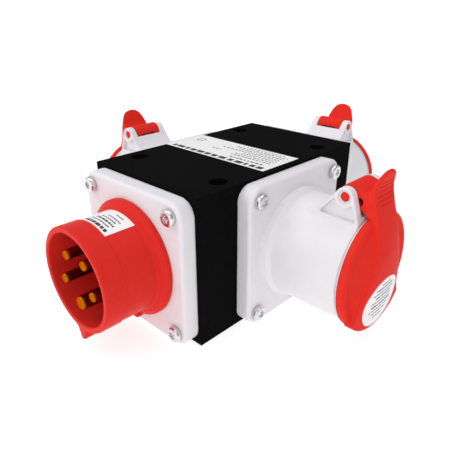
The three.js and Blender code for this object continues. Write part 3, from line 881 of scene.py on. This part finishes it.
# Height of the shield's ridge and of its middle, along w.
RIDGE = smooth_line([
    (50.2, 55.2), (48.6, 55.5), (46.3, 55.0), (43.6, 54.2), (41, 53.7), (38.2, 53.9), (35, 54.8), (31, 55.9), (27, 57.1), (23, 58.1), (19, 58.8), (15, 59.4), (11, 59.9),
    (7, 60.1), (3, 60.1), (-1, 59.9), (-5, 59.5), (-9, 58.9), (-13, 58.3), (-17, 57.9), (-24, 57.5), (-31, 57.2)])
MIDDLE = smooth_line([
    (50.2, 55.2), (48.6, 55.6), (46.3, 55.1), (43.6, 54.3), (41, 53.8), (38.2, 54.0), (35, 55.0), (31, 56.2), (27, 57.5), (23, 58.7), (19, 59.7), (12, 60.8), (4, 61.1),
    (-3, 60.9), (-9, 60.2), (-15, 59.4), (-23, 58.4), (-31, 57.6)])
WIDTH = smooth_line([(b, a) for a, b in HALF if a > 2 and b > -19.5] + [(-24.0, 24.5), (-31.0, 25.0), (50.2, 2.0)])
BACK_W = [-31, 28.2, 28.7, 33, 38.4, 41.6, 43.2, 44.6, 47.2, 50.2]
BACK_U = [53.3, 53.3, 51.3, 50.8, 50.45, 51.25, 51.75, 52.25, 53.3, 54.4]
BACK = lambda w: np.interp(w, BACK_W, BACK_U)
CAP = Outline(filleted([
    (-6, 53.2), (28.2, 53.2), (28.2, 51.35, 0.2), (29.2, 51.35, 0.3), (29.2, 54.4, 1.0), (27.9, 55.3, 2.2), (26.4, 55.3, 2.6),
    (23.9, 54.75, 3.0), (-6, 54.75)]), step=0.1)
ARM = Outline(filleted(
    arc(HINGE[0], HINGE[1], 4.8, 62, 310, 30) + [(47.5, 31.7, 1.0), (50.8, 29.1, 0.6), (53.4, 29.1), (53.4, 40.0), (51.3, 41.9, 0.8), (49.7, 38.9, 1.6), (46.6, 40.4, 1.2)]), step=0.1)


def dome(v, w):
    across = np.clip(np.abs(v) / np.maximum(WIDTH(w), 3.0), 0, 1.6)
    return RIDGE(w) + (MIDDLE(w) - RIDGE(w)) * (1 - across**2)


def slope(v, w):
    r = np.hypot(v, w)
    d = np.maximum(SHIELD(v, w), -3.0)
    room = np.maximum(26.0 - r, 0)
    t = np.clip(d / np.maximum(d + room, 0.3), -0.3, 1)
    fall = np.clip(RIDGE(w) - 55.85, 0, 8)
    return 54.6 + fall * (1 - t) ** 2.3


GRIP = [(44.5, 4.4), (42.4, 5.9), (40.3, 6.6), (38.2, 6.6), (36.1, 5.8), (34.1, 4.9)]


def lid(u, v, w):
    r = np.hypot(v, w)
    d = CAP(r, u)
    rise = 0.5 * (slope(v, w) + dome(v, w) - np.sqrt((slope(v, w) - dome(v, w)) ** 2 + 0.5))
    front = (u - rise) / 1.25
    ramp = meet(np.maximum(front, 53.25 - u), r - 26.8, 1.0)
    ramp = np.maximum(ramp, w - 28.0)
    d = weld(d, ramp, 0.5)
    outline = SHIELD(v, w)
    shield = meet((u - dome(v, w)) / 1.08, outline, 0.85)
    shield = meet(shield, BACK(w) - u, 0.35)
    shield = np.maximum(shield, np.where(r < 29.0, 53.25 - u, 51.5 - u) * (w < 28.0) - 50 * (w >= 28.0))
    d = weld(d, shield, 0.45)
    for z, half in GRIP:
        line = np.hypot(np.maximum(np.abs(v) - half, 0), w - z)
        d = carve(d, np.hypot(line, u - dome(v, w) - 0.12) - 0.5, 0.18)
    arm = meet(ARM(u, w), np.abs(v) - 9.0, 0.4)
    d = weld(d, arm, 0.5)
    pin = np.hypot(u - HINGE[0], w - HINGE[1])
    d = carve(d, pin - 2.15, 0.15)
    spring = np.minimum(pin - 3.9, SLOT_CUT(u, w))
    d = np.maximum(d, -np.maximum(spring, np.abs(v) - 5.2))
    d = carve(d, np.hypot(u - 46.8, w - 34.9) - 1.9, 0.2)
    return d


SLOT_CUT = Outline([(HINGE[0], HINGE[1])] + arc(HINGE[0], HINGE[1], 7.5, -175, -50, 12), step=0.1)

lid_mesh = surface("lid", lid, (36.6, -30.4, -30.4), (61.3, 30.4, 50.2), 0.42, lipschitz=2.2)
for side in ("right", "back", "left"):
    piece(copy_at(lid_mesh, f"lid_{side}_cover", placed(side)), "lid", f"{side}_lid", f"socket_{side}_lid")

# ----------------------------------------------------------- labels and print


def bars(rows, seed):
    """Rows of short blocks in place of print: (y, x0, x1, height, mean block length, gap)."""
    rng = np.random.default_rng(seed)
    out = []
    for y, x0, x1, height, length, gap in rows:
        x = x0
        while x < x1 - 0.3:
            n = length * (0.5 + rng.random())
            e = min(x + n, x1)
            out.append((x, e, y - height / 2, y + height / 2))
            x = e + gap * (0.7 + 0.6 * rng.random())
    return out


def printed(name, rects, lift, place, body, steps=1):
    """Thin raised blocks of ink. lift maps label (x, y, height) to millimetres in the piece's frame."""
    verts, faces = [], []
    for x0, x1, y0, y1 in rects:
        nx = max(1, int((x1 - x0) / steps)) if steps else 1
        for k in range(nx):
            a, b = x0 + (x1 - x0) * k / nx, x0 + (x1 - x0) * (k + 1) / nx
            base = len(verts)
            for h in (0.0, 0.03):
                verts += [lift(a, y0, h), lift(b, y0, h), lift(b, y1, h), lift(a, y1, h)]
            faces += [(base, base + 3, base + 2, base + 1), (base + 4, base + 5, base + 6, base + 7),
                      (base, base + 1, base + 5, base + 4), (base + 1, base + 2, base + 6, base + 5),
                      (base + 2, base + 3, base + 7, base + 6), (base + 3, base, base + 4, base + 7)]
    mesh = mesh_of(name, verts, faces)
    fix_normals(mesh)
    o = new_object(name, mesh, place, smooth=False)
    return piece(o, "ink", body)


# Top label, across the middle of the housing.
top = cube("rating", -38.6, 35.8, -15.0, 14.6, 78.02, 78.16)
o = new_object("top_label", top, ROW, smooth=False)
piece(o, "paper", "box", "rating_label")
rows = [(-12.0, -35.0, 33.0, 3.2, 4.2, 1.5)]
rows += [(-7.4, 6.0, 29.0, 1.3, 1.8, 0.9)]
rows += [(-3.6, 3.0, 31.5, 0.8, 1.6, 0.8), (-1.0, -14.0, -7.0, 0.8, 1.6, 0.9), (-1.0, 4.0, 31.5, 0.8, 1.7, 0.8), (1.6, 8.0, 32.0, 0.8, 1.5, 0.8)]
rows += [(4.2, -10.0, 31.0, 0.8, 1.6, 0.9), (6.8, 0.0, 32.0, 0.8, 1.7, 0.8), (9.4, -4.0, 32.5, 0.8, 1.6, 0.8), (12.0, 2.0, 30.0, 0.7, 1.6, 0.9)]
printed("top_label_print", bars(rows, 3), lambda x, y, h: (x, y, 78.16 + h), ROW, "box", steps=0)
printed("top_label_mark", [(-33.0, -28.5, 4.0, 4.5), (-33.0, -28.5, 8.0, 8.5), (-33.0, -32.5, 4.5, 8.0), (-29.0, -28.5, 4.5, 8.0)],
        lambda x, y, h: (x, y, 78.16 + h), ROW, "box", steps=0)


def patch(name, grid_x, grid_y, lift, thick, place, key, body, *nodes):
    """A thin curved sheet over a grid, closed all round."""
    verts, faces = [], []
    nx, ny = len(grid_x), len(grid_y)
    for h in (0.0, thick):
        for x in grid_x:
            for y in grid_y:
                verts.append(lift(x, y, h))
    at_ = lambda s, i, j: s * nx * ny + i * ny + j
    for i in range(nx - 1):
        for j in range(ny - 1):
            faces.append((at_(1, i, j), at_(1, i + 1, j), at_(1, i + 1, j + 1), at_(1, i, j + 1)))
            faces.append((at_(0, i, j), at_(0, i, j + 1), at_(0, i + 1, j + 1), at_(0, i + 1, j)))
    for i in range(nx - 1):
        for j in (0, ny - 1):
            faces.append((at_(0, i, j), at_(0, i + 1, j), at_(1, i + 1, j), at_(1, i, j)))
    for j in range(ny - 1):
        for i in (0, nx - 1):
            faces.append((at_(0, i, j), at_(1, i, j), at_(1, i, j + 1), at_(0, i, j + 1)))
    mesh = mesh_of(name, verts, faces)
    fix_normals(mesh)
    return piece(new_object(name, mesh, place, angle=40), key, body, *nodes)


def on_collar(angle, u, h):
    t = math.radians(angle)
    return (u, (25.87 + h) * math.cos(t), (25.87 + h) * math.sin(t))


patch("collar_label", np.linspace(62.0, 110.5, 40), np.linspace(14.3, 30.1, 3), on_collar, 0.12, placed("plug"), "paper", "box", "plug_label")
deg = math.degrees(1 / 25.9)
rows = [(28.2, 1.0, 17.0, 1.7, 2.2, 0.5), (25.6, 3.0, 16.5, 0.7, 1.1, 0.4), (23.6, 2.0, 15.0, 1.1, 1.4, 0.5), (21.6, 3.5, 14.0, 0.7, 1.2, 0.4),
        (19.6, 2.5, 12.0, 0.7, 1.1, 0.4), (17.0, 4.0, 9.0, 0.7, 1.1, 0.4)]
printed("collar_label_print", bars(rows, 8), lambda x, y, h: on_collar(64.5 + x * deg, y, 0.12 + h), placed("plug"), "box", steps=0.8)


def front_of_lid(v, w):
    """The lid's front surface at (v, w), found on the modelled solid."""
    v, w = np.atleast_1d(np.array(v, float)), np.atleast_1d(np.array(w, float))
    lo, hi = np.full(v.shape, 54.0), np.full(v.shape, 63.0)
    for _ in range(22):
        mid = (lo + hi) / 2
        inside = lid(mid, v, w) < 0
        lo, hi = np.where(inside, mid, lo), np.where(inside, hi, mid)
    return (lo + hi) / 2


def sticker_edge(t):
    x, y = 15.2 * math.cos(t), -15.0 + 13.4 * math.sin(t)
    r = math.hypot(x, y)
    if r > 28.5:
        x, y = x * 28.5 / r, y * 28.5 / r
    return x, y


rings, spokes = 14, 96
pts = [(0.0, -15.0)]
for k in range(1, rings + 1):
    for s in range(spokes):
        ex, ey = sticker_edge(2 * math.pi * s / spokes)
        pts.append((ex * k / rings, -15.0 + (ey + 15.0) * k / rings))
pts = np.array(pts)
height = front_of_lid(pts[:, 0], pts[:, 1])
count = len(pts)
verts = [(height[i] + 0.01, *pts[i]) for i in range(count)] + [(height[i] + 0.13, *pts[i]) for i in range(count)]
faces = []
for s in range(spokes):
    m = (s + 1) % spokes
    faces += [(0, 1 + s, 1 + m), (count, count + 1 + m, count + 1 + s)]
    for k in range(rings - 1):
        a, b = 1 + k * spokes, 1 + (k + 1) * spokes
        faces += [(a + s, b + s, b + m, a + m), (count + a + s, count + a + m, count + b + m, count + b + s)]
    e = 1 + (rings - 1) * spokes
    faces.append((e + s, count + e + s, count + e + m, e + m))
sticker = mesh_of("sticker", verts, faces)
fix_normals(sticker)
rows = [(-4.6, -3.0, 5.0, 0.7, 1.2, 0.5), (-6.8, -7.0, 8.0, 1.0, 1.4, 0.5), (-9.2, -8.5, 9.0, 0.7, 1.1, 0.5), (-11.4, -6.0, 8.0, 0.9, 1.4, 0.5),
        (-13.8, -9.0, 10.0, 0.7, 1.2, 0.5), (-16.2, -8.0, 9.5, 1.1, 1.5, 0.5), (-18.6, -9.5, 8.0, 0.7, 1.2, 0.5), (-21.0, -6.0, 7.0, 0.7, 1.1, 0.5),
        (-23.4, -4.0, 4.0, 0.7, 1.0, 0.5)]
rects = bars(rows, 21)
ends = sorted({(round(x, 4), round(y, 4)) for a, b, c, d in rects for x in (a, b, (a + b) / 2) for y in (c, d)})
probe = front_of_lid([p[0] for p in ends], [p[1] for p in ends])
lookup = dict(zip(ends, probe))


def on_lid(x, y, h):
    key = (round(x, 4), round(y, 4))
    u = lookup[key] if key in lookup else float(front_of_lid(x, y)[0])
    return (u + 0.13 + h, x, y)


for side in ("right", "back", "left"):
    m = sticker.copy()
    o = new_object(f"lid_{side}_label", m, placed(side), angle=40)
    piece(o, "paper", f"{side}_lid")
    printed(f"lid_{side}_label_print", rects, on_lid, placed(side), f"{side}_lid", steps=0)

# --------------------------------------------------- hinge pins and springs

for side in ("right", "back", "left"):
    profile = [(0, -13.3), (1.5, -13.3), (1.85, -13.15), (2.0, -12.8), (2.0, 12.8), (1.85, 13.15), (1.5, 13.3), (0, 13.3)]
    turn = Matrix(((0, 1, 0, HINGE[0]), (1, 0, 0, 0), (0, 0, 1, HINGE[1]), (0, 0, 0, 1)))
    o = turned(f"hinge_pin_{side}", profile, 64, (0, 0), placed(side) @ turn, angle=50)
    piece(o, "lid", "box", f"socket_{side}_hinge_pin")

    # Close coils round the pin; one leg rests on the housing, the other ends in the lid.
    pts = []
    turns_, half = 6.0, 3.3
    n = int(turns_ * 28)
    for k in range(n + 1):
        t = math.radians(-150) + 2 * math.pi * turns_ * k / n
        pts.append((HINGE[0] + 2.95 * math.cos(t), half - 2 * half * k / n, HINGE[1] + 2.95 * math.sin(t)))
    end = math.radians(-150)
    tx, tz = -math.sin(end), math.cos(end)
    for reach in (0.6, 1.4, 2.4, 3.6, 4.9):
        pts.append((pts[n][0] + reach * tx, -half - min(0.4, reach * 0.2), pts[n][2] + reach * tz))
    curve = bpy.data.curves.new("spring", "CURVE")
    curve.dimensions = "3D"
    curve.bevel_depth = 0.4
    curve.bevel_resolution = 3
    curve.use_fill_caps = True
    s = curve.splines.new("POLY")
    s.points.add(len(pts) - 1)
    for p, q in zip(s.points, pts):
        p.co = (*q, 1)
    tmp = bpy.data.objects.new("spring", curve)
    bpy.context.scene.collection.objects.link(tmp)
    dg = bpy.context.evaluated_depsgraph_get()
    mesh = bpy.data.meshes.new_from_object(tmp.evaluated_get(dg))
    bpy.data.objects.remove(tmp)
    o = new_object(f"lid_spring_{side}", mesh, placed(side), angle=60)
    dress(o, "spring")
    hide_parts(f"socket_{side}_spring")
    a = placed(side) @ Vector((HINGE[0], -3.4, HINGE[1]))
    b = placed(side) @ Vector((HINGE[0], 3.4, HINGE[1]))
    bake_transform(o)

    # Sealing ring that fills the gap between the lid's rim and the housing.
    ring = [(24.9, 52.95), (24.9, 50.6), (25.4, 50.15), (27.6, 50.15), (27.95, 50.4), (27.95, 52.95)]
    piece(turned(f"lid_seal_{side}", ring, 128, frame=placed(side), angle=40), "rubber", f"{side}_lid", f"socket_{side}_lid_seal")

# --------------------------------------------------- CAD pieces that stay

for name, o in frame["nodes"].items():
    if o.hide_render:
        continue
    if name.startswith("conductor"):
        key = "busbar"
    elif name == "busbar_holder":
        key = "holder"
    elif name.endswith("gasket") or name.endswith("seal"):
        key = "rubber"
    else:
        key = "black"
    dress(o, key)
    o.data.polygons.foreach_set("use_smooth", [True] * len(o.data.polygons))
    o.data.set_sharp_from_angle(angle=math.radians(32))

# ------------------------------------------------- stage, light and camera

scene = bpy.context.scene


def emitter(name, location, target, size, energy, colour=(1, 1, 1), size_y=None):
    light = bpy.data.lights.new(name, "AREA")
    light.shape = "RECTANGLE"
    light.size = size
    light.size_y = size_y or size
    light.energy = energy
    light.color = colour
    o = bpy.data.objects.new(name, light)
    o.location = location
    o.rotation_euler = (Vector(target) - Vector(location)).to_track_quat("-Z", "Y").to_euler()
    scene.collection.objects.link(o)
    return o


floor = bpy.data.meshes.new("floor")
floor.from_pydata([(-40, -40, -0.0002), (40, -40, -0.0002), (40, 40, -0.0002), (-40, 40, -0.0002)], [], [(0, 1, 2, 3)])
floor_obj = bpy.data.objects.new("floor", floor)
scene.collection.objects.link(floor_obj)
n = Nodes("floor")
floor_mat = n.finish(Base_Color=n.ramp(n.noise(6, 2, 0.5), [(0.3, (0.44, 0.44, 0.44)), (0.7, (0.46, 0.46, 0.46))]), Roughness=0.9, Specular_IOR_Level=0.1,
                     Emission_Color=(1, 1, 1, 1), Emission_Strength=0.74)
floor.materials.append(floor_mat)
# A pale wall far behind hides the horizon from the camera and takes no part in the lighting.
wall = bpy.data.meshes.new("backdrop")
ring = [(15 * math.cos(math.tau * k / 48), 15 * math.sin(math.tau * k / 48)) for k in range(48)]
wall.from_pydata([(x, y, z) for z in (-0.1, 9.0) for x, y in ring], [], [(k, (k + 1) % 48, 48 + (k + 1) % 48, 48 + k) for k in range(48)])
wall_obj = bpy.data.objects.new("backdrop", wall)
scene.collection.objects.link(wall_obj)
n = Nodes("backdrop")
wall_mat = n.finish(Base_Color=n.ramp(n.noise(6, 2, 0.5), [(0.3, (0.02, 0.02, 0.02)), (0.7, (0.03, 0.03, 0.03))]), Roughness=1.0, Specular_IOR_Level=0.0,
                    Emission_Color=(1, 1, 1, 1), Emission_Strength=1.0)
wall.materials.append(wall_mat)
wall_obj.visible_diffuse = wall_obj.visible_glossy = wall_obj.visible_transmission = wall_obj.visible_shadow = False

world = bpy.data.worlds.new("studio")
scene.world = world
world.use_nodes = True
wt = world.node_tree
sky = wt.nodes.new("ShaderNodeTexCoord")
facing = wt.nodes.new("ShaderNodeVectorMath")
facing.operation = "DOT_PRODUCT"
facing.inputs[1].default_value = Vector((-0.30, -0.75, 0.62)).normalized()
wt.links.new(sky.outputs["Generated"], facing.inputs[0])
grade = wt.nodes.new("ShaderNodeMapRange")
for k, value in ((1, -0.6), (2, 1.0), (3, 0.24), (4, 0.86)):
    grade.inputs[k].default_value = value
wt.links.new(facing.outputs["Value"], grade.inputs[0])
wt.links.new(grade.outputs[0], wt.nodes["Background"].inputs[1])
wt.nodes["Background"].inputs[0].default_value = (1, 1, 1, 1)

target = (0, 0, 0.04)
emitter("key", (-0.55, -0.75, 0.95), target, 0.5, 2.4)
emitter("fill", (0.55, -0.95, 0.45), target, 0.6, 1.1)
emitter("top", (0.1, 0.2, 1.1), target, 0.8, 2.8)

cam = bpy.data.cameras.new("camera")
cam.sensor_width = 36.0
cam.sensor_fit = "HORIZONTAL"
cam.lens = 472.0 * 36.0 / 450.0
cam.clip_start = 0.01
cam.clip_end = 20
camera = bpy.data.objects.new("camera", cam)
scene.collection.objects.link(camera)
az, el, roll = math.radians(44.12), math.radians(24.88), math.radians(-0.21)
back = Vector((math.sin(az) * math.cos(el), -math.cos(az) * math.cos(el), math.sin(el)))
aim = Vector((-5.08, 0, 30.77))
camera.location = (aim + back * 288.79) * MM
right_axis = Vector((math.cos(az), math.sin(az), 0))
up_axis = back.cross(right_axis)
rot = Matrix((right_axis, up_axis, back)).transposed()
camera.rotation_euler = (rot @ Matrix.Rotation(roll, 3, "Z")).to_euler()
scene.camera = camera

scene.view_settings.view_transform = "Standard"
scene.view_settings.look = "None"
scene.cycles.use_denoising = True
